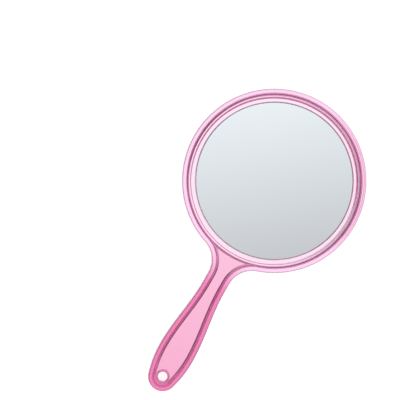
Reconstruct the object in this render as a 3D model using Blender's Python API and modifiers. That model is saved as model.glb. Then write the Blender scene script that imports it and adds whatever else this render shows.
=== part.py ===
"""Two-sided hand mirror: a one-piece moulded frame holding a flat mirror and a magnifying mirror.

The mirror lies on its back: +Z comes out of the front glass, +Y runs from the handle to the head.
The frame is symmetrical about its mid-plane, and every seat in the head is worked out inwards from
the rim, so the bezels, mirrors and foam follow the head when it grows or shrinks.
"""

import math

import bmesh
import bpy

# Overall sizes, metres
OVERALL_LENGTH = 0.270
HEAD_RADIUS = 0.075
OVERALL_THICKNESS = 0.012

# Handle
NECK_HALF_WIDTH = 0.0099
NECK_STRAIGHT = 0.007
NECK_FILLET = 0.021
PALM_HALF_WIDTH = 0.0153
PALM_TO_HOLE = 0.022
END_RADIUS = 0.012
WEB_THICKNESS = 0.004

# Hanging hole and the raised boss around it
HOLE_RADIUS = 0.0039
BOSS_WALL = 0.0011
BOSS_RISE = 0.001

# Section of the rim that borders the whole frame
RIM_ROUND_WIDTH = 0.0016
RIM_ROUND_HEIGHT = 0.0028
RIM_LAND = 0.002
RIM_SLOPE_WIDTH = 0.0022

# Collar, ledge and bezels that hold the mirrors
GROOVE_WIDTH = 0.0021
COLLAR_SET_BACK = 0.0014
COLLAR_LAND = 0.0012
COLLAR_DRAFT_WIDTH = 0.0018
LEDGE_WIDTH = 0.0081
LEDGE_THICKNESS = 0.0016
BEZEL_FLANGE = 0.0009
BEZEL_SKIRT_WALL = 0.0034
BEZEL_OVERLAP = 0.0006
BEZEL_EDGE = 0.0003

# Mirrors, foam and pad
GLASS_THICKNESS = 0.002
GLASS_EDGE = 0.0003
MAGNIFYING_RADIUS = 1.0
FOAM_MARGIN = 0.0006
PAD_RADIUS = 0.025

# Clearances
FIT_GAP = 0.0003
GLASS_SIDE_GAP = 0.0004

# How deep a joined shape is sunk into the next one
ROOT_DEPTH = 0.0008

# Distance within which points are one, and the angle from which an edge is shaded sharp
WELD = 0.000001
TURN_WELD = 0.00001
SHARP_ANGLE = math.radians(32)

# Flat facets that stand for round shapes
TURN_STEPS = 72
HOLE_STEPS = 24
HEAD_UPPER_STEPS = 20
HEAD_LOWER_STEPS = 16
FILLET_STEPS = 10
FLANK_STEPS = 14
PALM_STEPS = 4
END_STEPS = 8
ROUND_STEPS = 3
CONCAVE_STEPS = 4

# Places worked out from the sizes
MID_Z = OVERALL_THICKNESS / 2
HEAD_Y = OVERALL_LENGTH / 2 - HEAD_RADIUS
HOLE_Y = END_RADIUS - OVERALL_LENGTH / 2
PALM_Y = HOLE_Y + PALM_TO_HOLE
CREST_Z = OVERALL_THICKNESS / 2
WEB_Z = WEB_THICKNESS / 2
COLLAR_Z = CREST_Z - COLLAR_SET_BACK
LEDGE_Z = LEDGE_THICKNESS / 2
CREST_INSET = RIM_ROUND_WIDTH + RIM_LAND
SLOPE = RIM_SLOPE_WIDTH / (CREST_Z - WEB_Z)
COLLAR_SLOPE = COLLAR_DRAFT_WIDTH / (COLLAR_Z - WEB_Z)
ROOT_Z = WEB_Z - ROOT_DEPTH

# Radii of the seats, from the rim inwards
COLLAR_OUTER = HEAD_RADIUS - CREST_INSET - GROOVE_WIDTH
SEAT_RADIUS = COLLAR_OUTER - COLLAR_LAND
BEZEL_OUTER = SEAT_RADIUS - FIT_GAP
SKIRT_INNER = BEZEL_OUTER - BEZEL_SKIRT_WALL
GLASS_RADIUS = SKIRT_INNER - GLASS_SIDE_GAP
BEZEL_INNER = GLASS_RADIUS - BEZEL_OVERLAP
LEDGE_INNER = SEAT_RADIUS - LEDGE_WIDTH

# Heights of the stack, from the mid-plane outwards
FLANGE_Z = COLLAR_Z
BEZEL_Z = FLANGE_Z + BEZEL_FLANGE
SKIRT_Z = LEDGE_Z + FIT_GAP
GLASS_FACE_Z = FLANGE_Z - FIT_GAP
GLASS_BACK_Z = GLASS_FACE_Z - GLASS_THICKNESS
FOAM_INNER = LEDGE_INNER + FOAM_MARGIN
FOAM_OUTER = GLASS_RADIUS - FOAM_MARGIN


def clear_scene():
    """Removes whatever the file opened with."""
    for obj in list(bpy.data.objects):
        bpy.data.objects.remove(obj, do_unlink=True)


def new_collection(name):
    """A collection linked to the scene."""
    collection = bpy.data.collections.new(name)
    bpy.context.scene.collection.children.link(collection)
    return collection


def plastic(name, colour, roughness, metallic=0.0, transmission=0.0):
    """A Principled material with the piece's own colour and finish."""
    material = bpy.data.materials.new(name)
    material.use_nodes = True
    shader = material.node_tree.nodes["Principled BSDF"]
    shader.inputs["Base Color"].default_value = (*colour, 1.0)
    shader.inputs["Roughness"].default_value = roughness
    shader.inputs["Metallic"].default_value = metallic
    shader.inputs["Transmission Weight"].default_value = transmission
    return material


def arc(centre, radius, start, end, steps):
    """Points along an arc in the XY plane, from start to end in radians, without the last point."""
    turn = (end - start) / steps
    return [
        (
            centre[0] + radius * math.cos(start + turn * step),
            centre[1] + radius * math.sin(start + turn * step),
        )
        for step in range(steps)
    ]


def half_outline(inset):
    """Right half of the frame's outline, top of the head to the handle's end, moved inwards by inset."""
    head = (0.0, HEAD_Y)
    fillet_x = NECK_HALF_WIDTH + NECK_FILLET
    fillet_drop = math.sqrt((HEAD_RADIUS + NECK_FILLET) ** 2 - fillet_x**2)
    fillet = (fillet_x, HEAD_Y - fillet_drop)
    fillet_angle = math.atan2(-fillet_drop, fillet_x)

    flank_top = fillet[1] - NECK_STRAIGHT
    widening = PALM_HALF_WIDTH - NECK_HALF_WIDTH

    palm_radius = (PALM_TO_HOLE**2 + PALM_HALF_WIDTH**2 - END_RADIUS**2) / (
        2 * (PALM_HALF_WIDTH - END_RADIUS)
    )
    palm = (PALM_HALF_WIDTH - palm_radius, PALM_Y)
    palm_angle = -math.atan2(PALM_TO_HOLE, palm_radius - PALM_HALF_WIDTH)

    points = arc(head, HEAD_RADIUS - inset, math.pi / 2, 0.0, HEAD_UPPER_STEPS)
    points += arc(head, HEAD_RADIUS - inset, 0.0, fillet_angle, HEAD_LOWER_STEPS)
    points += arc(fillet, NECK_FILLET + inset, fillet_angle + math.pi, math.pi, FILLET_STEPS)
    points.append((NECK_HALF_WIDTH - inset, fillet[1]))
    for step in range(FLANK_STEPS):
        share = step / FLANK_STEPS
        half_width = NECK_HALF_WIDTH + widening * (1 - math.cos(math.pi * share)) / 2
        points.append((half_width - inset, flank_top + (PALM_Y - flank_top) * share))
    points += arc(palm, palm_radius - inset, 0.0, palm_angle, PALM_STEPS)
    points += arc((0.0, HOLE_Y), END_RADIUS - inset, palm_angle, -math.pi / 2, END_STEPS)
    points.append((0.0, HOLE_Y - END_RADIUS + inset))
    return points


def outline(inset):
    """The whole outline, clockwise from the top of the head."""
    right = half_outline(inset)
    left = [(-x, y) for x, y in reversed(right[1:-1])]
    return right + left


def closed_curve(name, points, collection):
    """A flat closed curve through points."""
    data = bpy.data.curves.new(name, "CURVE")
    data.dimensions = "2D"
    spline = data.splines.new("POLY")
    spline.points.add(len(points) - 1)
    for point, (x, y) in zip(spline.points, points):
        point.co = (x, y, 0.0, 1.0)
    spline.use_cyclic_u = True
    obj = bpy.data.objects.new(name, data)
    collection.objects.link(obj)
    return obj


def made_mesh(obj, collection):
    """Replaces an object with the plain mesh that it evaluates to, welded and facing outwards."""
    graph = bpy.context.evaluated_depsgraph_get()
    graph.update()
    mesh = bpy.data.meshes.new_from_object(obj.evaluated_get(graph))
    mesh.transform(obj.matrix_world)
    name = obj.name
    bpy.data.objects.remove(obj, do_unlink=True)
    work = bmesh.new()
    work.from_mesh(mesh)
    bmesh.ops.remove_doubles(work, verts=work.verts, dist=WELD)
    bmesh.ops.recalc_face_normals(work, faces=work.faces)
    work.to_mesh(mesh)
    work.free()
    made = bpy.data.objects.new(name, mesh)
    collection.objects.link(made)
    return made


def turned(name, profile, centre, collection, closed=True, steps=TURN_STEPS):
    """A profile of (radius, height) points turned about a vertical axis through centre."""
    mesh = bpy.data.meshes.new(name)
    points = [(radius, 0.0, height) for radius, height in profile]
    edges = [(index, index + 1) for index in range(len(points) - 1)]
    if closed:
        edges.append((len(points) - 1, 0))
    mesh.from_pydata(points, edges, [])
    obj = bpy.data.objects.new(name, mesh)
    obj.location = (centre[0], centre[1], MID_Z)
    collection.objects.link(obj)
    screw = obj.modifiers.new("Turn", "SCREW")
    screw.axis = "Z"
    screw.angle = math.tau
    screw.steps = steps
    screw.render_steps = steps
    screw.use_merge_vertices = True
    screw.merge_threshold = TURN_WELD
    bpy.context.view_layer.update()
    return made_mesh(obj, collection)


def hide_cutter(obj):
    """Shows a helper as wire and keeps it out of renders."""
    obj.display_type = "WIRE"
    obj.hide_render = True


def combine(body, tool, operation):
    """Joins a helper to the body, or cuts it away."""
    boolean = body.modifiers.new(f"{operation.title()} {tool.name}", "BOOLEAN")
    boolean.operation = operation
    boolean.solver = "EXACT"
    boolean.object = tool
    hide_cutter(tool)


def shade(obj, material):
    """Smooth shading broken at real edges, and the piece's material."""
    obj.data.shade_smooth()
    obj.data.set_sharp_from_angle(angle=SHARP_ANGLE)
    obj.data.materials.clear()
    obj.data.materials.append(material)


def rim_section():
    """The rim's section as (inset, height), front land to rear land, with its root inside the web."""
    round_base = CREST_Z - RIM_ROUND_HEIGHT
    front = []
    for step in range(ROUND_STEPS + 1):
        angle = math.pi / 2 * step / ROUND_STEPS
        inset = RIM_ROUND_WIDTH * (1 - math.cos(angle))
        front.append((inset, round_base + RIM_ROUND_HEIGHT * math.sin(angle)))
    front.append((CREST_INSET, CREST_Z))
    front.append((CREST_INSET + SLOPE * (CREST_Z - ROOT_Z), ROOT_Z))
    return front + [(inset, -height) for inset, height in reversed(front)]


def make_rim(collection, helpers):
    """The bead that borders head and handle, swept along the outline."""
    section = closed_curve("rim_section", rim_section(), helpers)
    rim = closed_curve("frame", outline(0.0), collection)
    rim.data.bevel_mode = "OBJECT"
    rim.data.bevel_object = section
    rim.location.z = MID_Z
    bpy.context.view_layer.update()
    made = made_mesh(rim, collection)
    bpy.data.objects.remove(section, do_unlink=True)
    return made


def make_web(helpers):
    """The flat panel inside the rim."""
    web = closed_curve("web", outline(CREST_INSET), helpers)
    web.data.fill_mode = "BOTH"
    web.data.extrude = WEB_Z
    web.location.z = MID_Z
    bpy.context.view_layer.update()
    return made_mesh(web, helpers)


def make_bore(name, centre, radius, steps, helpers):
    """A cylinder that cuts right through the web and the rim."""
    reach = OVERALL_THICKNESS
    profile = [(0.0, reach), (radius, reach), (radius, -reach), (0.0, -reach)]
    return turned(name, profile, centre, helpers, closed=False, steps=steps)


def make_collar(helpers):
    """The wall around both mirror seats, with the ledge between them."""
    root_radius = COLLAR_OUTER + COLLAR_SLOPE * (COLLAR_Z - ROOT_Z)
    profile = [
        (COLLAR_OUTER, COLLAR_Z),
        (root_radius, ROOT_Z),
        (root_radius, -ROOT_Z),
        (COLLAR_OUTER, -COLLAR_Z),
        (SEAT_RADIUS, -COLLAR_Z),
        (SEAT_RADIUS, -LEDGE_Z),
        (LEDGE_INNER, -LEDGE_Z),
        (LEDGE_INNER, LEDGE_Z),
        (SEAT_RADIUS, LEDGE_Z),
        (SEAT_RADIUS, COLLAR_Z),
    ]
    return turned("collar", profile, (0.0, HEAD_Y), helpers)


def make_boss(helpers):
    """The raised ring around the hanging hole."""
    outer = HOLE_RADIUS + BOSS_WALL
    top = WEB_Z + BOSS_RISE
    profile = [(outer, top), (outer, -top), (HOLE_RADIUS, -top), (HOLE_RADIUS, top)]
    return turned("boss", profile, (0.0, HOLE_Y), helpers, steps=HOLE_STEPS)


def make_frame(collection, helpers, material):
    """Rim, web, collar, ledge and boss, moulded in one."""
    head = (0.0, HEAD_Y)
    hole = (0.0, HOLE_Y)
    bore_radius = (SEAT_RADIUS + COLLAR_OUTER) / 2
    eye_radius = HOLE_RADIUS + BOSS_WALL / 2

    frame = make_rim(collection, helpers)
    combine(frame, make_web(helpers), "UNION")
    combine(frame, make_bore("head_bore", head, bore_radius, TURN_STEPS, helpers), "DIFFERENCE")
    combine(frame, make_collar(helpers), "UNION")
    combine(frame, make_bore("hole_bore", hole, eye_radius, HOLE_STEPS, helpers), "DIFFERENCE")
    combine(frame, make_boss(helpers), "UNION")
    frame = made_mesh(frame, collection)
    shade(frame, material)
    return frame


def make_bezel(name, side, collection, material):
    """An L-section ring: a flange over the mirror's edge and a skirt down to the ledge."""
    profile = [
        (BEZEL_OUTER - BEZEL_EDGE, BEZEL_Z),
        (BEZEL_OUTER, BEZEL_Z - BEZEL_EDGE),
        (BEZEL_OUTER, SKIRT_Z),
        (SKIRT_INNER, SKIRT_Z),
        (SKIRT_INNER, FLANGE_Z),
        (BEZEL_INNER, FLANGE_Z),
        (BEZEL_INNER, BEZEL_Z - BEZEL_EDGE),
        (BEZEL_INNER + BEZEL_EDGE, BEZEL_Z),
    ]
    profile = [(radius, side * height) for radius, height in profile]
    bezel = turned(name, profile[::side], (0.0, HEAD_Y), collection)
    shade(bezel, material)


def make_flat_mirror(collection, material):
    """The front mirror: a flat glass disc with a chamfered edge, silvered behind."""
    profile = [
        (0.0, GLASS_FACE_Z),
        (GLASS_RADIUS - GLASS_EDGE, GLASS_FACE_Z),
        (GLASS_RADIUS, GLASS_FACE_Z - GLASS_EDGE),
        (GLASS_RADIUS, GLASS_BACK_Z),
        (0.0, GLASS_BACK_Z),
    ]
    mirror = turned("front_mirror", profile, (0.0, HEAD_Y), collection, closed=False)
    shade(mirror, material)


def bowl_rise(radius):
    """How far the magnifying mirror stands in from its edge plane at a radius."""
    edge = math.sqrt(MAGNIFYING_RADIUS**2 - GLASS_RADIUS**2)
    return math.sqrt(MAGNIFYING_RADIUS**2 - radius**2) - edge


def make_magnifying_mirror(collection, material):
    """The rear mirror: a glass disc bent to a shallow bowl that opens to the back."""
    radii = [GLASS_RADIUS * step / CONCAVE_STEPS for step in range(CONCAVE_STEPS)]
    back = [(radius, bowl_rise(radius) - GLASS_BACK_Z) for radius in radii]
    face = [(radius, bowl_rise(radius) - GLASS_FACE_Z) for radius in reversed(radii)]
    rim = [
        (GLASS_RADIUS, -GLASS_BACK_Z),
        (GLASS_RADIUS, -GLASS_FACE_Z + GLASS_EDGE),
        (GLASS_RADIUS - GLASS_EDGE, -GLASS_FACE_Z + bowl_rise(GLASS_RADIUS - GLASS_EDGE)),
    ]
    profile = back + rim + face
    mirror = turned("rear_mirror", profile, (0.0, HEAD_Y), collection, closed=False)
    shade(mirror, material)


def make_foam_ring(name, low, high, collection, material):
    """A flat ring of adhesive foam between the ledge and a mirror."""
    profile = [(FOAM_OUTER, high), (FOAM_OUTER, low), (FOAM_INNER, low), (FOAM_INNER, high)]
    foam = turned(name, profile, (0.0, HEAD_Y), collection)
    shade(foam, material)


def make_pad(collection, material):
    """A foam disc that keeps the two glasses apart in the middle."""
    high = GLASS_BACK_Z - FIT_GAP
    low = bowl_rise(0.0) - GLASS_BACK_Z + FIT_GAP
    profile = [(0.0, high), (PAD_RADIUS, high), (PAD_RADIUS, low), (0.0, low)]
    pad = turned("centre_pad", profile, (0.0, HEAD_Y), collection, closed=False)
    shade(pad, material)


def main():
    clear_scene()
    collection = new_collection("hand_mirror")
    helpers = new_collection("cutters")

    pink = plastic("frame_plastic", (0.93, 0.32, 0.58), 0.08, transmission=0.7)
    pale_pink = plastic("bezel_plastic", (0.96, 0.62, 0.80), 0.08, transmission=0.7)
    silver = plastic("mirror_silver", (0.83, 0.86, 0.88), 0.02, metallic=1.0)
    foam = plastic("white_foam", (0.86, 0.86, 0.84), 0.9)

    make_frame(collection, helpers, pink)
    make_bezel("front_bezel", 1, collection, pale_pink)
    make_bezel("rear_bezel", -1, collection, pale_pink)
    make_flat_mirror(collection, silver)
    make_magnifying_mirror(collection, silver)

    foam_low = LEDGE_Z + FIT_GAP
    foam_high = GLASS_BACK_Z - FIT_GAP
    rear_low = bowl_rise(FOAM_INNER) - GLASS_BACK_Z + FIT_GAP
    make_foam_ring("front_foam_ring", foam_low, foam_high, collection, foam)
    make_foam_ring("rear_foam_ring", rear_low, -foam_low, collection, foam)
    make_pad(collection, foam)


main()
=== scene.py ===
# %% [markdown]
# # A two-sided hand mirror in see-through pink plastic
#
# This lesson builds a salon hand mirror: one moulded frame with a bead all round it, a flat panel
# in the handle, a ring that holds each mirror, and a hanging hole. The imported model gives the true
# sizes and places. Here every piece gets the smooth surface and the finish that make it look real.
#
# Glass and clear plastic show everything, so the frame is one closed surface with every edge
# rounded in its formula. Light then bends through it as it does through the real moulding.

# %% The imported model, and the box that the finished object has to stay inside
import math

import bmesh
import bpy
import numpy as np
from mathutils import Matrix, Vector


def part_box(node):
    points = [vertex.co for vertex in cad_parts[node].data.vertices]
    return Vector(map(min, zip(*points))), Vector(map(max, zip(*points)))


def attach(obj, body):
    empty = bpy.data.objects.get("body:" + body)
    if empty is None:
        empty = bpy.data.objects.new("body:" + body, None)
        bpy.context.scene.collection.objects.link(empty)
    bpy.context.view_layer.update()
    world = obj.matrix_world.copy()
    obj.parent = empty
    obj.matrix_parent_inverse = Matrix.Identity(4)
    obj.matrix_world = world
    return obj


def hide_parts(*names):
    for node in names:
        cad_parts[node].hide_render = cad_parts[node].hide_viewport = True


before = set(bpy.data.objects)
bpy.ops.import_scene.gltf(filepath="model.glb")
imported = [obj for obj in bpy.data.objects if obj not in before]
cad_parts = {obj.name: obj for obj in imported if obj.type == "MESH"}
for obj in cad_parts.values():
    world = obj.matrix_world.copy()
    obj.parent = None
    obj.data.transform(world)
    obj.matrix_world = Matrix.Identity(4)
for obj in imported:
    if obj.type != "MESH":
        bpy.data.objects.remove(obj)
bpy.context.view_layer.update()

# %% [markdown]
# ## Sizes
#
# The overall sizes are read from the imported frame, so nothing can drift. The smaller ones, such as
# the width of the bead, repeat the design's own values in metres. Heights are counted from the
# frame's mid-plane, because the front and the back of the frame are the same. Points that come
# nearer to each other than the merging distance are one point.

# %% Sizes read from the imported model
frame_low, frame_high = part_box("frame")
head_radius = (frame_high.x - frame_low.x) / 2
head_y = frame_high.y - head_radius
end_y = frame_low.y
mid_z = (frame_low.z + frame_high.z) / 2
crest_z = (frame_high.z - frame_low.z) / 2
head_centre = np.array([0.0, head_y])
print(f"head {2 * head_radius:.3f} m across, frame {frame_high.y - frame_low.y:.3f} m long")

# %% Sizes of the handle, the rim and the seats, in metres
neck_half_width = 0.0099
neck_straight = 0.007
neck_fillet = 0.021
palm_half_width = 0.0153
palm_to_hole = 0.022
end_radius = 0.012
hole_radius = 0.0039
boss_wall = 0.0011
boss_rise = 0.001
web_z = 0.002

rim_round_width = 0.0016
rim_round_height = 0.0028
rim_land = 0.002
rim_slope_width = 0.0022
groove_width = 0.0021
collar_land = 0.0012
collar_z = crest_z - 0.0014
collar_draft_width = 0.0018
ledge_z = 0.0008
ledge_inner = 0.060
merge_distance = 2e-6

hole_centre = np.array([0.0, end_y + end_radius])
crest_inset = rim_round_width + rim_land
collar_outer = head_radius - crest_inset - groove_width
seat_radius = collar_outer - collar_land

# %% [markdown]
# ## Two ways to round a corner
#
# Where two sloping faces meet, a moulding has a small radius. Taking the larger or the smaller of
# two heights gives a sharp corner. A smooth version of the same choice rounds it over a chosen
# width, and needs no bevel afterwards.

# %% Smooth least and smooth most
def smooth_least(a, b, width):
    """The smaller of a and b. Where they differ by less than width, it dips under both by
    width / 4 times the square of one less their difference over width."""
    near = np.clip(1 - np.abs(a - b) / width, 0, None)
    return np.minimum(a, b) - near * near * width / 4


def smooth_most(a, b, width):
    """The larger of a and b, rounded in the same way."""
    return -smooth_least(-a, -b, width)


print("a right corner of two ramps is rounded by", smooth_most(0.0, 0.0, 1.0))

# %% [markdown]
# ## The outline of the frame
#
# Seen from the front, the right half of the outline is a chain: the head's circle, a hollow fillet,
# a short straight neck, a flank that swells like half a wave, the palm's shallow arc, and a round
# end about the hanging hole. Each arc is tangent to the next. Every stretch is a function of one
# share from 0 to 1, which gives both a point and the direction that leads into the plastic.

# %% The stretches of the outline
def arc_stretch(centre, radius, start, end, share, hollow=False):
    """Points on a circle at angles from start to end by share, and the way in: towards the
    centre, or away from it on a hollow arc."""
    angle = start + (end - start) * share
    way_out = np.stack([np.cos(angle), np.sin(angle)], axis=1)
    return centre + radius * way_out, way_out if hollow else -way_out


fillet_x = neck_half_width + neck_fillet
fillet_drop = math.sqrt((head_radius + neck_fillet) ** 2 - fillet_x**2)
fillet_centre = np.array([fillet_x, head_y - fillet_drop])
fillet_angle = math.atan2(-fillet_drop, fillet_x)

palm_y = hole_centre[1] + palm_to_hole
palm_radius = (palm_to_hole**2 + palm_half_width**2 - end_radius**2) / (
    2 * (palm_half_width - end_radius)
)
palm_centre = np.array([palm_half_width - palm_radius, palm_y])
palm_angle = -math.atan2(palm_to_hole, palm_radius - palm_half_width)


def head_stretch(share):
    """The head's circle, from its top down to the fillet."""
    return arc_stretch(head_centre, head_radius, math.pi / 2, fillet_angle, share)


def fillet_stretch(share):
    """The hollow fillet between head and neck."""
    return arc_stretch(
        fillet_centre, neck_fillet, fillet_angle + math.pi, math.pi, share, hollow=True
    )


def neck_stretch(share):
    """The straight neck."""
    y = fillet_centre[1] - neck_straight * share
    points = np.stack([np.full_like(share, neck_half_width), y], axis=1)
    return points, np.tile([-1.0, 0.0], (len(share), 1))


def flank_stretch(share):
    """Half width = neck + widening times (1 - cos(pi share)) / 2, the first half of a wave."""
    top = fillet_centre[1] - neck_straight
    widening = palm_half_width - neck_half_width
    x = neck_half_width + widening * (1 - np.cos(math.pi * share)) / 2
    y = top + (palm_y - top) * share
    lean = widening * math.pi * np.sin(math.pi * share) / (2 * (top - palm_y))
    inwards = np.stack([-np.ones_like(lean), -lean], axis=1)
    return np.stack([x, y], axis=1), inwards / np.linalg.norm(inwards, axis=1)[:, None]


def palm_stretch(share):
    """The shallow arc from the widest place down to the round end."""
    return arc_stretch(palm_centre, palm_radius, 0.0, palm_angle, share)


def end_stretch(share):
    """The round end, about the hanging hole."""
    return arc_stretch(hole_centre, end_radius, palm_angle, -math.pi / 2, share)


print("neck", 2 * neck_half_width, "m wide, palm", 2 * palm_half_width, "m wide")

# %% [markdown]
# ## Heights of the frame's front face
#
# The front face is a height above the mid-plane at each place in the plan. The bead has a crest and
# a slope down to the flat panel. The collar round the mirror's seat and the boss round the hole
# each slope down the other way. The surface is the highest of them, rounded where they meet.

# %% The slopes and what they add up to
foot_round = 0.0009
groove_round = 0.0006
crest_round = 0.0005
collar_round = 0.0003
crown = 0.00012
boss_slope = 0.3

bead_slope = rim_slope_width / (crest_z - web_z)
collar_slope = collar_draft_width / (collar_z - web_z)
boss_outer = hole_radius + boss_wall
boss_z = web_z + boss_rise

flat_inset = crest_inset + bead_slope * (crest_z - web_z + foot_round)
flat_collar = collar_outer + collar_slope * (collar_z - web_z + foot_round)
flat_boss = boss_outer + boss_slope * (boss_z - web_z + foot_round)


def bead_line(inset):
    """The bead's slope carried on as a straight line: the crest, less the way in past the crest
    over the slope's width for each unit of height."""
    return crest_z - (inset - crest_inset) / bead_slope


def ring_line(radius, outer, top, slope):
    """A collar's or boss's slope carried on as a straight line outside its radius."""
    return top - (radius - outer) / slope


def bead_height(inset):
    """The crest, crowned by a shallow parabola about its middle, then the slope."""
    middle = rim_round_width + rim_land / 2
    crest = crest_z - crown * ((inset - middle) / (rim_land / 2)) ** 2
    return smooth_least(crest, bead_line(inset), crest_round)


def face_height(inset, head_distance, hole_distance):
    """The highest of the flat panel, bead, collar and boss, rounded where they meet."""
    collar_line = ring_line(head_distance, collar_outer, collar_z, collar_slope)
    collar = smooth_least(np.full_like(collar_line, collar_z), collar_line, collar_round)
    boss_line = ring_line(hole_distance, boss_outer, boss_z, boss_slope)
    boss = smooth_least(np.full_like(boss_line, boss_z), boss_line, collar_round)
    height = smooth_most(np.full_like(inset, web_z), bead_height(inset), foot_round)
    height = smooth_most(height, collar, groove_round)
    return smooth_most(height, boss, groove_round)


print(f"the bead's slope runs out {flat_inset * 1000:.2f} mm in from the outline")

# %% [markdown]
# ## Valleys between bead and ring
#
# On the head the bead's slope runs into the collar's, and they make a groove. At the neck the
# outline leaves the head's circle, and the groove opens into the flat panel. A mesh line has to
# follow the bottom of the groove, so its place is worked out: for each point of the outline, how
# far in the two slopes are at the same height, carried on below the panel if need be. Halving an
# interval forty times finds it for all points at once.

# %% Finding the bottom of a groove
halvings = 40


def valley_inset(points, inwards, centre, outer, top, slope):
    """How far in from the outline the bead's line and a ring's line are equally high."""
    low = np.full(len(points), crest_inset)
    high = np.full(len(points), 2 * palm_half_width)
    for _ in range(halvings):
        middle = (low + high) / 2
        distance = np.linalg.norm(points + middle[:, None] * inwards - centre, axis=1)
        bead_above = bead_line(middle) > ring_line(distance, outer, top, slope)
        low = np.where(bead_above, middle, low)
        high = np.where(bead_above, high, middle)
    return low


def collar_valley(points, inwards):
    """The valley between bead and collar, as insets and places."""
    inset = valley_inset(points, inwards, head_centre, collar_outer, collar_z, collar_slope)
    return inset, points + inset[:, None] * inwards


def boss_valley(points, inwards):
    """The valley between bead and boss, as insets and places."""
    inset = valley_inset(points, inwards, hole_centre, boss_outer, boss_z, boss_slope)
    return inset, points + inset[:, None] * inwards


def share_on_axis(stretch, valley):
    """The share of a stretch at which its valley reaches the frame's middle line, x = 0."""
    low, high = 0.0, 1.0
    toward_axis = valley(*stretch(np.array([low])))[1][0, 0] > 0
    for _ in range(halvings):
        middle = (low + high) / 2
        if (valley(*stretch(np.array([middle])))[1][0, 0] > 0) == toward_axis:
            low = middle
        else:
            high = middle
    return (low + high) / 2


fork_share = share_on_axis(fillet_stretch, collar_valley)
close_share = share_on_axis(palm_stretch, boss_valley)
print(f"valleys reach the middle at {fork_share:.3f} of the fillet, {close_share:.3f} of the palm")

# %% [markdown]
# ## A quarter of the frame as three grids
#
# The frame is the same left and right, front and back, so a quarter is enough: x and height both
# above zero. One grid runs along the outline and from its flank over the bead to the panel's middle
# line. A second goes from the collar's foot over its land, down the seat's wall and in along the
# ledge. A third does the same round the hanging hole. The grids share their border points.

# %% Steps along the outline
def shares(start, end, steps, last=False):
    """Even shares from start to end, without the end unless it is the last stretch."""
    return np.linspace(start, end, steps + 1)[: None if last else -1]


top_part = [
    head_stretch(shares(0, 1, 136)),
    fillet_stretch(shares(0, fork_share, 44)),
]
middle_part = [
    fillet_stretch(shares(fork_share, 1, 12)),
    neck_stretch(shares(0, 1, 5)),
    flank_stretch(shares(0, 1, 44)),
    palm_stretch(shares(0, close_share, 8)),
]
end_part = [
    palm_stretch(shares(close_share, 1, 8)),
    end_stretch(shares(0, 1, 36, last=True)),
]
top_count = sum(len(points) for points, _ in top_part)
end_count = sum(len(points) for points, _ in end_part)
outline_points = np.concatenate([points for points, _ in top_part + middle_part + end_part])
outline_inwards = np.concatenate([ways for _, ways in top_part + middle_part + end_part])
# The first and the last point lie on the middle line.
outline_points[[0, -1], 0] = 0.0
outline_inwards[[0, -1], 0] = 0.0
outline_count = len(outline_points)
print(outline_count, "steps along the right half of the outline")

# %% Where the bead ends and what it meets there
near_head = np.arange(outline_count) <= top_count
near_hole = np.arange(outline_count) >= outline_count - end_count

collar_inset, collar_place = collar_valley(outline_points, outline_inwards)
boss_inset, boss_place = boss_valley(outline_points, outline_inwards)
valley = np.where(near_head, collar_inset, np.where(near_hole, boss_inset, flat_inset))
bead_inset = np.minimum(valley, flat_inset)
bead_foot = outline_points + bead_inset[:, None] * outline_inwards


def ring_foot(places, centre, flat_radius):
    """The valley's places, drawn in to the radius where a ring's slope has run out."""
    offset = places - centre
    distance = np.linalg.norm(offset, axis=1)[:, None]
    return centre + offset / distance * np.minimum(distance, flat_radius)


collar_foot = ring_foot(collar_place[: top_count + 1], head_centre, flat_collar)
boss_foot = ring_foot(boss_place[outline_count - end_count :], hole_centre, flat_boss)
collar_foot[[0, -1], 0] = 0.0
boss_foot[[0, -1], 0] = 0.0

# Between the two rings the panel ends on the middle line. Its points fall with the bead's foot, and
# at both ends they ease into the rings' own.
middle_count = outline_count - top_count - 1 - end_count
fall = bead_foot[top_count + 1 : outline_count - end_count, 1]
drop = np.linspace(0, 1, middle_count + 2)[1:-1]
axis_y = (
    fall
    + (collar_foot[-1, 1] - bead_foot[top_count, 1]) * (1 - drop) ** 3
    + (boss_foot[0, 1] - bead_foot[outline_count - end_count, 1]) * drop**3
)
axis_foot = np.stack([np.zeros(middle_count), axis_y], axis=1)
inner_foot = np.concatenate([collar_foot, axis_foot, boss_foot])
print("the middle line falls all the way:", bool((np.diff(axis_y) < 0).all()))

# %% [markdown]
# ## The bead's section
#
# The flank is nearly upright, with a little under a degree of draft and a fine ridge where the two
# halves of the mould met. It turns over a quarter of an ellipse to the crest. From there the height
# function takes over, with more steps where the surface bends, and with even steps over the crest,
# close enough to carry a fine line of painted shade.

# %% Rows across the bead and the panel
parting_ridge = 0.00006
parting_width = 0.0003
flank_draft = 0.00005
flank_top = crest_z - rim_round_height
bend_start = crest_inset - 0.0003
bend_end = crest_inset + 0.0004


def flank_inset(height):
    """A ridge that falls away as a bell curve from the mid-plane, and a straight draft. Three
    times the square of the height over the ridge's width leaves a twentieth of it there."""
    ridge = parting_ridge * (1 - np.exp(-((height / parting_width) ** 2) * 3))
    return ridge + flank_draft * height / flank_top


flank_heights = np.concatenate([
    np.linspace(0, 2 * parting_width, 8)[:-1],
    np.linspace(2 * parting_width, flank_top, 4)[:-1],
])
turn = np.linspace(0, math.pi / 2, 12)[:-1]
start_inset = flank_inset(np.array(flank_top))
section_inset = np.concatenate([
    flank_inset(flank_heights),
    start_inset + (rim_round_width - start_inset) * (1 - np.cos(turn)),
])
round_top = bead_height(np.array(rim_round_width))
section_height = np.concatenate([
    flank_heights,
    flank_top + (round_top - flank_top) * np.sin(turn),
])

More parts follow.
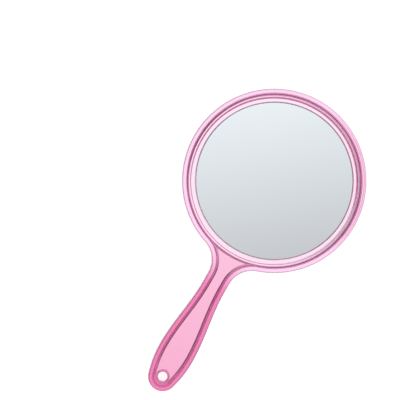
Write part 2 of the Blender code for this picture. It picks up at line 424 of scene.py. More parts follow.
land_rows = np.concatenate([
    np.linspace(rim_round_width, bend_start, 9)[:-1],
    np.linspace(bend_start, bend_end, 8)[:-1],
])
slope_shares = np.concatenate([np.linspace(0, 0.6, 4)[:-1], np.linspace(0.6, 1, 11)])
panel_shares = np.linspace(0, 1, 8)[1:]

moulded = np.tile(section_inset, (outline_count, 1))
land = np.tile(land_rows, (outline_count, 1))
slope = bend_end + (bead_inset - bend_end)[:, None] * slope_shares
bead_insets = np.concatenate([moulded, land, slope], axis=1)
bead_plan = outline_points[:, None] + bead_insets[:, :, None] * outline_inwards[:, None]

valley_floor = np.maximum(valley, bead_inset)
panel_plan = bead_foot[:, None] + (inner_foot - bead_foot)[:, None] * panel_shares[:, None]
panel_insets = bead_inset[:, None] + (valley_floor - bead_inset)[:, None] * panel_shares

plan = np.concatenate([bead_plan, panel_plan], axis=1)
insets = np.concatenate([bead_insets, panel_insets], axis=1)
heights = face_height(
    insets,
    np.linalg.norm(plan - head_centre, axis=2),
    np.linalg.norm(plan - hole_centre, axis=2),
)
heights[:, : len(section_height)] = section_height
bead_grid = np.concatenate([plan, heights[:, :, None]], axis=2)
print("bead and panel grid", bead_grid.shape[:2])

# %% [markdown]
# ## Rounded profiles
#
# The seats, the hanging hole, the retaining rings and the foam are all turned shapes. Their
# profiles are corners joined by straight lines, with an arc in each corner. The arc touches both
# lines: it starts as far from the corner as its radius over the tangent of half the corner's angle.
#
# Smooth shading blends the way a surface faces from point to point. On a flat with points only at
# its ends the blend would run all the way across, and clear plastic would bend light like a lens
# there. So each arc has one more point just past each end, and the flat beyond it stays flat.

# %% A profile from corners and radii
flat_guard = 0.00006


def rounded_profile(corners, radii, steps=5, closed=True):
    """Corner points with each corner replaced by an arc of its own radius, tangent to both
    sides, and a guard point on the flat at each end of the arc. A radius of 0 keeps the corner."""
    corners = np.asarray(corners, float)
    before = np.roll(corners, 1, axis=0) - corners
    after = np.roll(corners, -1, axis=0) - corners
    made = []
    for index, (corner, radius) in enumerate(zip(corners, radii)):
        is_end = not closed and index in (0, len(corners) - 1)
        if is_end or radius == 0:
            made.append(corner[None])
            continue
        one = before[index] / np.linalg.norm(before[index])
        two = after[index] / np.linalg.norm(after[index])
        half = math.acos(np.clip(one @ two, -1, 1)) / 2
        middle = corner + (one + two) / np.linalg.norm(one + two) * radius / math.sin(half)
        reach = radius / math.tan(half)
        start, end = corner + one * reach - middle, corner + two * reach - middle
        share = np.linspace(0, 1, steps + 1)[:, None]
        swing = math.pi - 2 * half
        blend = (np.sin((1 - share) * swing) * start + np.sin(share * swing) * end)
        arc = middle + blend / math.sin(swing)
        made.append(np.concatenate([
            [corner + one * (reach + flat_guard)],
            arc,
            [corner + two * (reach + flat_guard)],
        ]))
    return np.concatenate(made)


print(len(rounded_profile([(0, 0), (1, 0), (1, 1), (0, 1)], [0.1] * 4)), "points round a square")

# %% The collar with its seat and ledge, and the boss with its hole
ring_bend = 0.00018
ring_slope_rows = 10
ring_bend_rows = 7


def ring_grid(feet, foot_insets, centre, outer, inner_profile):
    """From each foot straight towards the centre: up the slope and round its bend to the land,
    where the height is face_height, then along a profile that is the same all round."""
    offset = feet - centre
    distance = np.linalg.norm(offset, axis=1)
    way = offset / distance[:, None]
    edge = outer + ring_bend
    rising = edge + (distance - edge)[:, None] * np.linspace(1, 0, ring_slope_rows + 1)[:-1]
    bending = np.linspace(edge, outer - ring_bend, ring_bend_rows)
    radii = np.concatenate([rising, np.tile(bending, (len(feet), 1))], axis=1)
    places = centre + radii[:, :, None] * way[:, None]
    inset = np.linalg.norm(places[:, :1] - places, axis=2) + foot_insets[:, None]
    height = face_height(
        inset,
        np.linalg.norm(places - head_centre, axis=2),
        np.linalg.norm(places - hole_centre, axis=2),
    )
    rest = centre + inner_profile[None, :, :1] * way[:, None]
    rest_height = np.tile(inner_profile[:, 1], (len(feet), 1))
    return np.concatenate([
        np.concatenate([places, height[:, :, None]], axis=2),
        np.concatenate([rest, rest_height[:, :, None]], axis=2),
    ], axis=1)


ring_start = 0.0002
seat_profile = rounded_profile(
    [
        (collar_outer - ring_start, collar_z),
        (seat_radius, collar_z),
        (seat_radius, ledge_z),
        (ledge_inner, ledge_z),
        (ledge_inner, 0.0),
    ],
    [0, 0.0002, 0.0003, 0.0003, 0],
    closed=False,
)
eye_profile = rounded_profile(
    [(boss_outer - ring_start, boss_z), (hole_radius, boss_z), (hole_radius, 0.0)],
    [0, 0.0007, 0],
    closed=False,
)
collar_grid = ring_grid(
    collar_foot, valley_floor[: top_count + 1], head_centre, collar_outer, seat_profile
)
boss_grid = ring_grid(
    boss_foot, valley_floor[outline_count - end_count :], hole_centre, boss_outer, eye_profile
)
print("collar grid", collar_grid.shape[:2], "and boss grid", boss_grid.shape[:2])

# %% [markdown]
# ## Painted tint and shade from place to place
#
# In the real moulding one tint runs through all of the plastic, and its depth and the bent light
# make it look pale on the head's crest, strong on the handle's bead, and darkest in lines down the
# steep slopes and at the seat's wall. A computed picture of the same shape gets only part of that.
# So each point carries a value from 0 for clear to 1 for the deepest colour, which the plastic's
# finish reads. It paints the depth of the tint and the light and shade of the bent light into the
# colour, and its lines are painted shade.
#
# Across the rim the value goes by the inset from the outline, counted from the crest's own edges,
# so the lines keep their place on the bead. Along the handle it goes by the way down from the
# model's middle. On the head's right the crest carries one more fine line of painted shade, and the
# painted shade down the slope starts a little further in. Where the handle joins, the painted shade
# outside the collar is deepest.

# %% The sizes and depths of the painted shade lines and painted tints, with spans in metres
# Painted shade down the bead's slope, a little less deep towards the handle's end.
slope_painted_shade = 0.928
slope_rise = (crest_inset, crest_inset + 0.0007)
slope_fall = (crest_inset + 0.0019, crest_inset + 0.0025)
slope_shift = 0.0004
end_fade = 0.12
end_fade_span = (0.095, 0.128)

# A fine line of painted shade on the head's crest, on its right side.
crest_line_painted_shade = 1.0
crest_line_inset = rim_round_width + 0.0006
crest_line_width = 0.0004
right_side = math.radians(30)
right_reach = (0.55, 0.95)

# Painted tint: deep on the handle's bead, paler on the flat panel.
handle_bead_painted_tint = 0.82
handle_bead_span = (0.005, 0.045)
panel_painted_tints = (0.53, 0.66)
panel_painted_tint_places = (0.010, 0.120)
panel_painted_tint_span = (0.004, 0.009)
panel_onset = 6

# Painted shade outside the collar, deepest where the handle joins, and at the seat's wall.
fork_painted_shade = 1.0
fork_side = math.radians(-90)
fork_reach = (0.5, 0.9)
collar_line_span = (0.0001, 0.0005)
collar_panel_span = (0.0014, 0.0021)
wall_painted_shade = 0.93
wall_span = (0.0003, 0.0001)
# One painted shade all over the boss round the hanging hole.
eye_painted_shade = 0.865


def eased(value, start, end):
    """From 0 at start to 1 at end: 3 t squared - 2 t cubed of the share t, held at both ends."""
    share = np.clip((value - start) / (end - start), 0, 1)
    return share * share * (3 - 2 * share)


def toward(points, side, start, end):
    """From 0 to 1 as the cosine of the angle between a point's direction from the head's centre
    and one side goes from start to end."""
    offset = points[..., :2] - head_centre
    distance = np.linalg.norm(offset, axis=-1, keepdims=True)
    way = offset / np.maximum(distance, merge_distance)
    return eased(way @ np.array([math.cos(side), math.sin(side)]), start, end)


def bead_painted_tint_shade(points):
    """Painted tint and shade: clear on the head's crest but for its fine line of painted shade, a
    strong painted tint on the handle's bead, painted shade down the slope and the panel's own share
    on the flat panel."""
    down = -points[:, :, 1]
    on_right = toward(points, right_side, *right_reach)
    deep = eased(insets - slope_shift * on_right, *slope_rise) * (1 - eased(insets, *slope_fall))
    deep = slope_painted_shade * deep * (1 - end_fade * eased(down, *end_fade_span))
    on_handle = eased(down, *handle_bead_span)
    line = np.exp(-(((insets - crest_line_inset) / crest_line_width) ** 2))
    line = crest_line_painted_shade * line * on_right * (1 - on_handle)
    bead = np.maximum.reduce([handle_bead_painted_tint * on_handle, deep, line])
    past = np.clip((insets - crest_inset) / (bead_inset[:, None] - crest_inset), 0, 1)
    panel = past**panel_onset * eased(down, *panel_painted_tint_span)
    return bead * (1 - panel) + np.interp(down, panel_painted_tint_places, panel_painted_tints) * panel


def collar_painted_tint_shade(points):
    """Painted shade down the collar's slope and at the seat's wall, the panel's painted tint where
    the slope has run out, and none on the land and the ledge."""
    radius = np.linalg.norm(points[..., :2] - head_centre, axis=-1)
    past_land = radius - collar_outer
    deep = slope_painted_shade + (fork_painted_shade - slope_painted_shade) * toward(points, fork_side, *fork_reach)
    deep = deep * eased(past_land, *collar_line_span)
    panel = eased(past_land, *collar_panel_span)
    deep = deep * (1 - panel) + panel_painted_tints[0] * panel
    return np.maximum(deep, wall_painted_shade * eased(np.abs(radius - seat_radius), *wall_span))


def boss_painted_shade(points):
    """One deep painted shade all over the boss."""
    return np.full(points.shape[:2], eye_painted_shade)


for title, grid, painted_tint_shade_of in (
    ("bead and panel", bead_grid, bead_painted_tint_shade),
    ("collar", collar_grid, collar_painted_tint_shade),
    ("boss", boss_grid, boss_painted_shade),
):
    print(title, f"dye from {painted_tint_shade_of(grid).min():.2f} to {painted_tint_shade_of(grid).max():.2f}")

# %% [markdown]
# ## From grids to a closed mesh
#
# A grid's faces come from index arithmetic on the whole array. The quarter is mirrored across the
# middle line and the mid-plane, and points that fall on each other are merged. What is left is one
# closed surface, and the script counts its open edges to prove it.

# %% Grid faces, merging and the mesh object
def grid_faces(rows, columns, start=0, wrap=False):
    """Four corners of each cell: a point, its neighbour in the next row, and the two beside
    them in the next column. With wrap the last row joins the first."""
    index = np.arange(rows * columns).reshape(rows, columns) + start
    following = np.roll(index, -1, axis=0) if wrap else index[1:]
    index = index if wrap else index[:-1]
    corners = [index[:, :-1], following[:, :-1], following[:, 1:], index[:, 1:]]
    return np.stack(corners, axis=2).reshape(-1, 4)


def mesh_piece(name, points, faces, painted_tint_shade=None):
    """A mesh object whose place is in its points: merged, facing out and shaded smooth. A value
    for each point, the painted tint and shade, can be kept with it as an attribute."""
    mesh = bpy.data.meshes.new(name)
    mesh.from_pydata(points.tolist(), [], faces.tolist())
    if painted_tint_shade is not None:
        mesh.attributes.new("painted_tint_shade", "FLOAT", "POINT").data.foreach_set("value", painted_tint_shade)
    work = bmesh.new()
    work.from_mesh(mesh)
    bmesh.ops.remove_doubles(work, verts=work.verts, dist=merge_distance)
    bmesh.ops.dissolve_degenerate(work, edges=work.edges, dist=merge_distance)
    bmesh.ops.recalc_face_normals(work, faces=work.faces)
    open_edges = sum(not edge.is_manifold for edge in work.edges)
    work.to_mesh(mesh)
    work.free()
    mesh.shade_smooth()
    piece = bpy.data.objects.new(name, mesh)
    bpy.context.scene.collection.objects.link(piece)
    print(name, len(mesh.polygons), "faces,", open_edges, "open edges")
    return piece


def place(points):
    """Points counted from the mid-plane, moved to their height in the model."""
    return points + np.array([0.0, 0.0, mid_z])


def make_frame():
    """The three grids and their mirror images as one closed surface. The painted tint and shade is
    worked out where each image lies, because the right and the left of the head differ in it."""
    points, faces, painted_tint_shades, count = [], [], [], 0
    for grid, painted_tint_shade_of in ((bead_grid, bead_painted_tint_shade), (collar_grid, collar_painted_tint_shade), (boss_grid, boss_painted_shade)):
        for flip in ([1, 1, 1], [-1, 1, 1], [1, 1, -1], [-1, 1, -1]):
            image = grid * flip
            points.append(image.reshape(-1, 3))
            faces.append(grid_faces(*grid.shape[:2], start=count))
            painted_tint_shades.append(painted_tint_shade_of(image).ravel())
            count += grid.shape[0] * grid.shape[1]
    return mesh_piece(
        "frame_moulding",
        place(np.concatenate(points)),
        np.concatenate(faces),
        painted_tint_shade=np.concatenate(painted_tint_shades),
    )


frame_moulding = make_frame()

# %% [markdown]
# ## Turned pieces
#
# A turned piece is its profile carried round a circle: radius and height stay, and the angle runs
# through a full turn. The rings, the glasses and the foam are all made in this way.

# %% A profile carried round the head's centre
turn_steps = 240


def turned_piece(name, profile, closed=True, painted_tint_shade_of=None):
    """x = radius cos(angle), y = centre + radius sin(angle), z = height, for a full turn."""
    angle = np.linspace(0, math.tau, turn_steps, endpoint=False)[:, None]
    loop = np.concatenate([profile, profile[:1]]) if closed else profile
    radius, height = loop[:, 0], loop[:, 1]
    points = np.stack([
        radius * np.cos(angle),
        head_y + radius * np.sin(angle),
        np.broadcast_to(height, (turn_steps, len(loop))),
    ], axis=2)
    faces = grid_faces(turn_steps, len(loop), wrap=True)
    painted_tint_shade = None if painted_tint_shade_of is None else painted_tint_shade_of(points).ravel()
    return mesh_piece(name, place(points.reshape(-1, 3)), faces, painted_tint_shade=painted_tint_shade)


# %% Sizes of the stack in each seat
fit_gap = 0.0003
skirt_wall = 0.0034
flange_rise = 0.0009
glass_gap = 0.0004
glass_cover = 0.0006
glass_thickness = 0.002
foam_margin = 0.0006
magnifying_radius = 1.0

bezel_outer = seat_radius - fit_gap
skirt_inner = bezel_outer - skirt_wall
glass_radius = skirt_inner - glass_gap
bezel_inner = glass_radius - glass_cover
flange_z = collar_z
bezel_z = flange_z + flange_rise
skirt_z = ledge_z + fit_gap
glass_face_z = flange_z - fit_gap
glass_back_z = glass_face_z - glass_thickness
foam_inner = ledge_inner + foam_margin
foam_outer = glass_radius - foam_margin
print(f"visible mirror {2 * bezel_inner:.4f} m across")

# %% [markdown]
# ## The two retaining rings
#
# Each ring is an L in section: a skirt that stands on the ledge, and a flange that reaches in over
# the glass. The flange's face falls a little towards the mirror. On one side of the head the ring's
# outer edge carries a dark line of painted shade, where the ring meets its seat. The profile has a
# corner on each face where that line ends, so the painted shade can't reach the rest of it.

# %% The rings and the painted shade line at their outer edge
face_fall = 0.0001
# Where the painted shade line at the ring's outer edge ends and is deepest, how deep it is, and the
# side it lies on.
gap_line_end = bezel_outer - 0.0008
gap_line_deepest = bezel_outer - 0.0004
gap_line_painted_shade = 0.95
gap_line_side = math.radians(105)
gap_line_reach = (-0.3, 0.2)
bezel_profile = rounded_profile(
    [
        (bezel_outer, bezel_z),
        (bezel_outer, skirt_z),
        (gap_line_end, skirt_z),
        (skirt_inner, skirt_z),
        (skirt_inner, flange_z),
        (bezel_inner, flange_z),
        (bezel_inner, bezel_z - face_fall),
        (gap_line_end, bezel_z),
    ],
    [0.0005, 0.0002, 0, 0.0002, 0.00015, 0.00015, 0.00025, 0],
)


def gap_painted_shade(points):
    """Painted shade, deep at the ring's outer edge on one side, and none on the rest of the ring."""
    radius = np.linalg.norm(points[..., :2] - head_centre, axis=-1)
    edge = eased(radius, gap_line_end, gap_line_deepest)
    return gap_line_painted_shade * edge * toward(points, gap_line_side, *gap_line_reach)


front_bezel = turned_piece("front_retaining_ring", bezel_profile, painted_tint_shade_of=gap_painted_shade)
rear_bezel = turned_piece("rear_retaining_ring", bezel_profile * [1, -1], painted_tint_shade_of=gap_painted_shade)

# %% [markdown]
# ## The mirrors
#
# A mirror is float glass with silver and paint on its back. The front one is flat. The rear one is
# bent to part of a sphere a metre in radius, so it magnifies: at a given radius it stands in from
# its edge by the difference of two square roots.

# %% The flat mirror and the bent one
silver_radius = bezel_inner + 0.0001


def bowl_rise(radius):
    """How far the bent glass stands in from the plane of its edge."""
    edge = math.sqrt(magnifying_radius**2 - glass_radius**2)
    return np.sqrt(magnifying_radius**2 - radius**2) - edge


def glass_profile(bend):
    """The face from the centre out, the rounded ground edge and the back to the centre again, all
    bent by a function of the radius."""
    rim = rounded_profile(
        [
            (silver_radius, glass_face_z),
            (glass_radius, glass_face_z),
            (glass_radius, glass_back_z),
            (silver_radius, glass_back_z),
        ],
        [0, 0.0004, 0.0004, 0],
        closed=False,
    )
    radii = np.linspace(0, bezel_inner, 20)
    face = np.stack([radii, np.full_like(radii, glass_face_z)], axis=1)
    back = np.stack([radii, np.full_like(radii, glass_back_z)], axis=1)[::-1]
    profile = np.concatenate([face, rim, back])
    return profile - np.stack([np.zeros(len(profile)), bend(profile[:, 0])], axis=1)


front_glass = turned_piece("front_mirror_glass", glass_profile(np.zeros_like), closed=False)
rear_glass = turned_piece("rear_mirror_glass", glass_profile(bowl_rise) * [1, -1], closed=False)

# %% [markdown]
# ## Foam inside the head
#
# Adhesive foam beds each glass on the ledge, and a pad keeps the two glasses apart in the middle.
# Cut foam bulges a little between the faces that press it.

# %% Foam rings and the pad
ring_bulge = 0.0002
pad_bulge = 0.0003
bulge_share = np.linspace(0, 1, 9)
bulge_wave = np.sin(math.pi * bulge_share)


def foam_ring(name, low, high):
    """A ring whose inner and outer sides bulge as half a sine wave between its two faces."""
    height = high + (low - high) * bulge_share
    drawn_in = ring_bulge * (1 - bulge_wave)
    outer = np.stack([foam_outer - drawn_in, height], axis=1)
    inner = np.stack([foam_inner + drawn_in, height], axis=1)[::-1]
    return turned_piece(name, np.concatenate([outer, inner]))


rear_foam_low = float(bowl_rise(np.array(foam_inner))) - glass_back_z + fit_gap
front_foam = foam_ring("front_foam_bed", skirt_z, glass_back_z - fit_gap)
rear_foam = foam_ring("rear_foam_bed", rear_foam_low, -skirt_z)

pad_corner_low, pad_corner_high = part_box("centre_pad")
pad_radius = (pad_corner_high.x - pad_corner_low.x) / 2
pad_low = pad_corner_low.z - mid_z
pad_high = pad_corner_high.z - mid_z
pad_side = np.stack([
    pad_radius - pad_bulge * (1 - bulge_wave),
    pad_high + (pad_low - pad_high) * bulge_share,
], axis=1)
pad_profile = np.concatenate([[[0.0, pad_high]], pad_side, [[0.0, pad_low]]])
centre_pad = turned_piece("foam_spacer", pad_profile, closed=False)

# %% [markdown]
# ## Finishes
#
# Every finish starts from the same small set of tools: a Principled shader, noise read in object
# coordinates, a mix between two colours and a fine bump. Values that are the same all over are set
# on the shader's own sockets. Noise scales are in cells per metre and bump heights in metres.

# %% Helpers for materials
def new_finish(name):
    """A material with its Principled shader, output and object coordinates."""
    material = bpy.data.materials.new(name)
    material.use_nodes = True
    tree = material.node_tree
    shader = tree.nodes["Principled BSDF"]
    coordinates = tree.nodes.new("ShaderNodeTexCoord")
    return material, tree, shader, coordinates.outputs["Object"]


def noise(tree, vector, scale, detail=3.0, stretch=(1, 1, 1)):
    """Noise of a scale in cells per metre. A stretch above 1 packs the cells along that axis."""
    mapping = tree.nodes.new("ShaderNodeMapping")
    mapping.inputs["Scale"].default_value = stretch
    texture = tree.nodes.new("ShaderNodeTexNoise")
    texture.inputs["Scale"].default_value = scale
    texture.inputs["Detail"].default_value = detail
    tree.links.new(vector, mapping.inputs["Vector"])
    tree.links.new(mapping.outputs["Vector"], texture.inputs["Vector"])
    return texture.outputs["Fac"]


def ranged(tree, value, low, high, to_low, to_high):
    """A value carried from one range to another, and held at its ends."""
    node = tree.nodes.new("ShaderNodeMapRange")
    for name, number in (
        ("From Min", low), ("From Max", high), ("To Min", to_low), ("To Max", to_high)
    ):
        node.inputs[name].default_value = number
    tree.links.new(value, node.inputs["Value"])
    return node.outputs["Result"]


def mixed_colour(tree, factor, one, two):
    """A colour between two, by a factor."""
    node = tree.nodes.new("ShaderNodeMix")
    node.data_type = "RGBA"
    node.inputs["A"].default_value = (*one, 1)
    node.inputs["B"].default_value = (*two, 1)
    tree.links.new(factor, node.inputs["Factor"])
    return node.outputs["Result"]


def bumped(tree, shader, height, distance, strength=1.0):
    """A bump on the shader's normal."""
    node = tree.nodes.new("ShaderNodeBump")
    node.inputs["Strength"].default_value = strength
    node.inputs["Distance"].default_value = distance
    tree.links.new(height, node.inputs["Height"])
    tree.links.new(node.outputs["Normal"], shader.inputs["Normal"])


# %% [markdown]
# ## See-through plastic
#
# Tinted polystyrene takes its colour from its depth, so a volume absorbs green most and red least.
# The rest of the colour is painted on at the surface, as light goes in and out, and follows the
# painted tint and shade of each point along a few colour steps: clear, the panel's pale pink, the
# handle's hot pink, and the dark rose of the painted shade lines. Real mouldings are never perfect,
# so the tint is a little cloudy, the gloss varies with handling and the flat faces have a very faint
# ripple.

# %% The tinted plastics
# Colour steps of the painted tint and shade: clear, pale pink, hot pink and the dark rose of the
# painted shade lines.
painted_tint_shade_colours = [
    (0.00, (1.00, 1.00, 1.00)),
    (0.55, (0.91, 0.56, 0.70)),
    (0.82, (0.87, 0.34, 0.53)),
    (1.00, (0.25, 0.05, 0.10)),
]
absorbed_colour = (0.92, 0.10, 0.70)
plastic_ior = 1.5


def colour_steps(tree, factor, steps):
    """A colour that runs through the given steps as a factor goes from 0 to 1."""
    ramp = tree.nodes.new("ShaderNodeValToRGB")
    for _ in steps[2:]:
        ramp.color_ramp.elements.new(0.5)
    for element, (position, colour) in zip(ramp.color_ramp.elements, steps):
        element.position = position
        element.color = (*colour, 1)
    tree.links.new(factor, ramp.inputs["Fac"])
    return ramp.outputs["Color"]


def clear_plastic(name, density):
    """A see-through surface over an absorbing volume. Its surface colour follows the attribute of
    painted tint and shade, with a cloudy variation of a few hundredths, and the gloss varies with
    handling."""
    material, tree, shader, place_in = new_finish(name)
    shader.inputs["Transmission Weight"].default_value = 1.0
    shader.inputs["IOR"].default_value = plastic_ior
    cloud = noise(tree, place_in, 60, detail=2)
    cloudy = mixed_colour(tree, cloud, (1.0, 1.0, 1.0), (1.0, 0.975, 0.985))
    # The painted tint and shade of each point, read from its attribute and run through the colour
    # steps.
    painted_tint_shade = tree.nodes.new("ShaderNodeAttribute")
    painted_tint_shade.attribute_name = "painted_tint_shade"
    graded = colour_steps(tree, painted_tint_shade.outputs["Fac"], painted_tint_shade_colours)
    tint = tree.nodes.new("ShaderNodeMix")
    tint.data_type = "RGBA"
    tint.blend_type = "MULTIPLY"
    tint.inputs["Factor"].default_value = 1.0
    tree.links.new(cloudy, tint.inputs["A"])
    tree.links.new(graded, tint.inputs["B"])
    tree.links.new(tint.outputs["Result"], shader.inputs["Base Color"])
    handling = noise(tree, place_in, 220, detail=6)
    gloss = ranged(tree, handling, 0.35, 0.75, 0.01, 0.04)
    tree.links.new(gloss, shader.inputs["Roughness"])
    bumped(tree, shader, noise(tree, place_in, 30, detail=1), 0.00003, 0.5)
    volume = tree.nodes.new("ShaderNodeVolumeAbsorption")
    volume.inputs["Color"].default_value = (*absorbed_colour, 1)
    volume.inputs["Density"].default_value = density
    output = tree.nodes["Material Output"]
    tree.links.new(volume.outputs["Volume"], output.inputs["Volume"])
    return material


frame_plastic = clear_plastic("tinted_frame_plastic", density=40)
bezel_plastic = clear_plastic("tinted_ring_plastic", density=25)
print(frame_plastic.name, "and", bezel_plastic.name, "are ready")

# %% [markdown]
# ## Silvered glass
#
# Seen from the front, a mirror is a bright metal layer under a clear coat. The metal is slightly
# cool, and faint wipe marks show in its gloss. The ground edge sits inside the pink ring, and its
# colour is painted a dark, frosted rose: painted shade under the ring, with the ring's pink light
# painted on. The back is grey protective paint.

# %% Silver, ground edge and backing paint
def silver_finish():
    """Metal under a clear coat, with faint wipe marks in its gloss."""
    material, tree, shader, place_in = new_finish("silvered_face")
    shader.inputs["Metallic"].default_value = 1.0
    shader.inputs["Coat Weight"].default_value = 0.3
    shader.inputs["Coat Roughness"].default_value = 0.01
    shader.inputs["Coat IOR"].default_value = 1.52
    cloud = noise(tree, place_in, 12, detail=2)
    colour = mixed_colour(tree, cloud, (0.90, 0.925, 0.94), (0.87, 0.90, 0.92))
    tree.links.new(colour, shader.inputs["Base Color"])
    wipes = noise(tree, place_in, 60, detail=5, stretch=(1, 4, 1))
    tree.links.new(ranged(tree, wipes, 0.4, 0.8, 0.012, 0.035), shader.inputs["Roughness"])
    return material


def edge_finish():
    """Frosted glass edge, painted dark rose: painted shade under the ring, with the pink of the
    plastic round it painted on.
    """
    material, tree, shader, place_in = new_finish("ground_glass_edge")
    grain = noise(tree, place_in, 1800, detail=2)
    colour = mixed_colour(tree, grain, (0.36, 0.13, 0.20), (0.48, 0.21, 0.29))
    tree.links.new(colour, shader.inputs["Base Color"])
    shader.inputs["Roughness"].default_value = 0.5
    bumped(tree, shader, grain, 0.00005)
    return material


def paint_finish():
    """Grey sprayed paint with a fine mottle."""
    material, tree, shader, place_in = new_finish("grey_backing_paint")
    mottle = noise(tree, place_in, 500, detail=4)
    colour = mixed_colour(tree, mottle, (0.30, 0.32, 0.33), (0.38, 0.40, 0.41))
    tree.links.new(colour, shader.inputs["Base Color"])
    tree.links.new(ranged(tree, mottle, 0.3, 0.7, 0.5, 0.7), shader.inputs["Roughness"])
    bumped(tree, shader, mottle, 0.00004)
    return material


def foam_finish():
    """White closed-cell foam: round cells as dimples, and a slight unevenness of tone."""
    material, tree, shader, place_in = new_finish("white_closed_cell_foam")
    cells = tree.nodes.new("ShaderNodeTexVoronoi")
    cells.inputs["Scale"].default_value = 2200
    tree.links.new(place_in, cells.inputs["Vector"])
    tone = ranged(tree, cells.outputs["Distance"], 0.0, 0.8, 0.0, 1.0)
    colour = mixed_colour(tree, tone, (0.90, 0.90, 0.87), (0.78, 0.78, 0.75))
    tree.links.new(colour, shader.inputs["Base Color"])
    shader.inputs["Roughness"].default_value = 0.9
    bumped(tree, shader, cells.outputs["Distance"], 0.0001)
    return material


silver = silver_finish()
ground_edge = edge_finish()
backing_paint = paint_finish()
foam_white = foam_finish()
print(len(bpy.data.materials), "materials in the file")

# %% Giving each piece its finish
facing = 0.9


def give(piece, *materials):
    """Replaces a piece's materials."""
    piece.data.materials.clear()
    for material in materials:
        piece.data.materials.append(material)


def part_glass(piece, side):
    """Silver, ground edge or paint for each face of a glass, by the way the face looks. Faces
    that look out within the silver's radius are silvered, and those that look in are painted."""
    mesh = piece.data
    normals = np.empty(len(mesh.polygons) * 3)
    mesh.polygons.foreach_get("normal", normals)
    centres = np.empty(len(mesh.polygons) * 3)
    mesh.polygons.foreach_get("center", centres)
    outwards = normals.reshape(-1, 3)[:, 2] * side
    radius = np.linalg.norm(centres.reshape(-1, 3)[:, :2] - head_centre, axis=1)
    silvered = (outwards > facing) & (radius < silver_radius)
    slot = np.where(silvered, 0, np.where(outwards < -facing, 2, 1)).astype(np.int32)
    mesh.polygons.foreach_set("material_index", slot)
    return np.bincount(slot).tolist()


give(frame_moulding, frame_plastic)
for ring in (front_bezel, rear_bezel):
    give(ring, bezel_plastic)
for glass, side in ((front_glass, 1), (rear_glass, -1)):
    give(glass, silver, ground_edge, backing_paint)
    print(glass.name, "faces on face, edge and back:", part_glass(glass, side))
for foam in (front_foam, rear_foam, centre_pad):
    give(foam, foam_white)

# %% [markdown]
# ## What each piece stands for
#
# The object has no moving parts, so every piece rides on the root body. Each row also names the
# node of the imported model that the piece replaces, which is hidden, and a material slot.

# %% Riding and replacing, with a slot listed for each piece
for piece, node, slot in (
    (frame_moulding, "frame", "frame_plastic"),
    (front_bezel, "front_bezel", "bezel_plastic"),
    (rear_bezel, "rear_bezel", "bezel_plastic"),
    (front_glass, "front_mirror", "mirror_glass"),
    (rear_glass, "rear_mirror", "mirror_glass"),
    (front_foam, "front_foam_ring", "white_foam"),
    (rear_foam, "rear_foam_ring", "white_foam"),
    (centre_pad, "centre_pad", "white_foam"),
):
    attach(piece, "root")
    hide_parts(node)

# %% [markdown]
# ## Camera
#
# The camera looks straight down on the mirror from a little over a metre. It is rolled, so that the
# handle points to the lower left. The head's centre sits to the right of the picture's middle and
# a little above it. Right and up are the picture's own directions, laid in the table's plane.

# %% The camera above the mirror
handle_lean = math.radians(29.7)
picture_width = 0.3258
head_right = 0.0603
head_up = 0.0155
camera_height = 1.1
right = Vector((math.cos(handle_lean), math.sin(handle_lean), 0))
up = Vector((-math.sin(handle_lean), math.cos(handle_lean), 0))
aim = Vector((0, head_y, mid_z)) - right * head_right - up * head_up

camera_data = bpy.data.cameras.new("camera")
camera_data.sensor_width = 36
camera_data.lens = camera_data.sensor_width * camera_height / picture_width
camera_data.clip_start = 0.01
camera = bpy.data.objects.new("camera", camera_data)
turned = Matrix((right, up, right.cross(up))).transposed()
camera.matrix_world = Matrix.Translation(aim + Vector((0, 0, camera_height))) @ turned.to_4x4()
bpy.context.scene.collection.objects.link(camera)
bpy.context.scene.camera = camera
print(f"lens {camera_data.lens:.1f} mm")

# %% [markdown]
# ## Floor and light
#
# The mirror lies on a pale table that glows a little, as a light table does. Clear plastic takes
# its look from what stands behind it, so light that comes through the plastic passes the table and
# meets the lower half of the dome instead. That half is bright straight down, which keeps the flat
# faces pale, and dark from about 16 to 49 degrees off, which draws dark lines along the slopes.
# Along one axis the dark part is lit, so the lines fade on two opposite sides of the head.
#
# The upper half is the studio. A cap at the zenith changes slowly along the picture's upright, and
# that is what the flat mirror shows. Round the cap the dome is dim, then bright, and duller again
# towards the horizon. Past the table's edge the camera sees a plain backdrop.

# %% The table
table_half = 3.0
table_drop = 0.0002


def make_floor():
    """A square of pale table just under the mirror."""
    signs = ((-1, -1), (1, -1), (1, 1), (-1, 1))
    corners = [(x * table_half, y * table_half, -table_drop) for x, y in signs]
    mesh = bpy.data.meshes.new("table")
    mesh.from_pydata(corners, [], [(0, 1, 2, 3)])
    floor = bpy.data.objects.new("table", mesh)
    bpy.context.scene.collection.objects.link(floor)
    material, _, shader, _ = new_finish("pale_table")
    shader.inputs["Base Color"].default_value = (0.4, 0.4, 0.4, 1)
    shader.inputs["Roughness"].default_value = 0.9
    shader.inputs["Specular IOR Level"].default_value = 0.0
    shader.inputs["Emission Color"].default_value = (1, 1, 1, 1)
    shader.inputs["Emission Strength"].default_value = 0.85
    give(floor, material)
    floor.visible_transmission = False


make_floor()
print("table", 2 * table_half, "m wide")

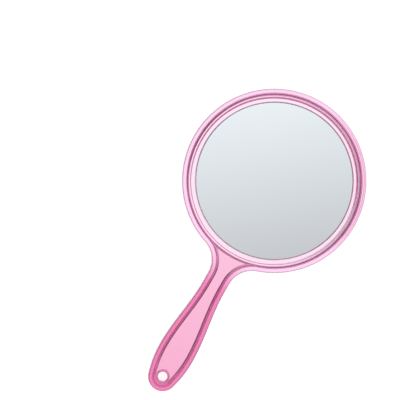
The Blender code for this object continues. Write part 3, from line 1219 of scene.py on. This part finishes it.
# %% The sky, with brightness against the height of the direction, and its spans
studio_levels = [
    (-1.00, 1.12),
    (-0.987, 1.12),
    (-0.962, 0.22),
    (-0.65, 0.22),
    (-0.50, 1.05),
    (0.00, 1.05),
    (0.03, 0.60),
    (0.30, 0.66),
    (0.48, 0.90),
    (0.55, 1.10),
    (0.84, 1.10),
    (0.88, 0.10),
    (1.00, 0.10),
]
brightest = 4.0
lit_axis = math.radians(60)
lit_span = (0.14, 0.34)
lit_heights = (-0.60, -0.45)
lit_colour = (1.0, 1.0, 1.0)
cap_span = (0.980, 0.986)
backdrop_colour = (0.93, 0.94, 0.95)
mirror_span = (-0.06, 0.07)
mirror_lean = 0.17
mirror_low = (0.614, 0.616, 0.633)
mirror_high = (0.953, 0.990, 1.004)


def along(tree, direction, axis):
    """How far a direction goes along an axis."""
    node = tree.nodes.new("ShaderNodeVectorMath")
    node.operation = "DOT_PRODUCT"
    node.inputs[1].default_value = axis
    tree.links.new(direction, node.inputs[0])
    return node.outputs["Value"]


def plain(tree, colour):
    """One colour as an output."""
    node = tree.nodes.new("ShaderNodeRGB")
    node.outputs["Color"].default_value = (*colour, 1)
    return node.outputs["Color"]


def over(tree, factor, under, upper):
    """One colour output with another laid over it by a factor."""
    node = tree.nodes.new("ShaderNodeMix")
    node.data_type = "RGBA"
    tree.links.new(factor, node.inputs["Factor"])
    tree.links.new(under, node.inputs["A"])
    tree.links.new(upper, node.inputs["B"])
    return node.outputs["Result"]


def height_levels(tree, height):
    """The studio levels by the height of the direction, from the nadir at -1 to the zenith at 1.
    The colour steps hold shares of the brightest level, because they stop at 1."""
    steps = [((at + 1) / 2, [level / brightest] * 3) for at, level in studio_levels]
    scaled = tree.nodes.new("ShaderNodeVectorMath")
    scaled.operation = "SCALE"
    scaled.inputs["Scale"].default_value = brightest
    shares_up = ranged(tree, height, -1, 1, 0, 1)
    tree.links.new(colour_steps(tree, shares_up, steps), scaled.inputs[0])
    return scaled.outputs["Vector"]


def lit_share(tree, direction, height):
    """1 in the dark part of the lower half, both ways along the lit axis, and 0 elsewhere."""
    both_ways = tree.nodes.new("ShaderNodeMath")
    both_ways.operation = "ABSOLUTE"
    axis = right * math.cos(lit_axis) + up * math.sin(lit_axis)
    tree.links.new(along(tree, direction, axis), both_ways.inputs[0])
    product = tree.nodes.new("ShaderNodeMath")
    product.operation = "MULTIPLY"
    tree.links.new(ranged(tree, height, *lit_heights, 1, 0), product.inputs[0])
    tree.links.new(ranged(tree, both_ways.outputs["Value"], *lit_span, 0, 1), product.inputs[1])
    return product.outputs["Value"]


def make_sky():
    """The levels by height, the lit axis below, the cap at the zenith, and the plain backdrop."""
    world = bpy.data.worlds.new("studio")
    world.use_nodes = True
    tree = world.node_tree
    tree.nodes.clear()
    direction = tree.nodes.new("ShaderNodeTexCoord").outputs["Generated"]
    separate = tree.nodes.new("ShaderNodeSeparateXYZ")
    tree.links.new(direction, separate.inputs["Vector"])
    height = separate.outputs["Z"]

    upright = along(tree, direction, up - mirror_lean * right)
    gradient = ranged(tree, upright, *mirror_span, 0, 1)
    zenith = mixed_colour(tree, gradient, mirror_low, mirror_high)
    levels, lit = height_levels(tree, height), lit_share(tree, direction, height)
    studio = over(tree, lit, levels, plain(tree, lit_colour))
    dome = over(tree, ranged(tree, height, *cap_span, 0, 1), studio, zenith)
    rays = tree.nodes.new("ShaderNodeLightPath")
    seen = over(tree, rays.outputs["Is Camera Ray"], dome, plain(tree, backdrop_colour))

    background = tree.nodes.new("ShaderNodeBackground")
    output = tree.nodes.new("ShaderNodeOutputWorld")
    tree.links.new(seen, background.inputs["Color"])
    tree.links.new(background.outputs["Background"], output.inputs["Surface"])
    bpy.context.scene.world = world


make_sky()
print(len(studio_levels), "levels of the dome, and a lit axis at", round(math.degrees(lit_axis)))

# %% How the picture is developed
plastic_bounces = 24
scene = bpy.context.scene
scene.view_settings.view_transform = "Standard"
scene.cycles.max_bounces = plastic_bounces
scene.cycles.transmission_bounces = plastic_bounces
scene.cycles.glossy_bounces = 8
scene.cycles.diffuse_bounces = 4
scene.cycles.use_denoising = True
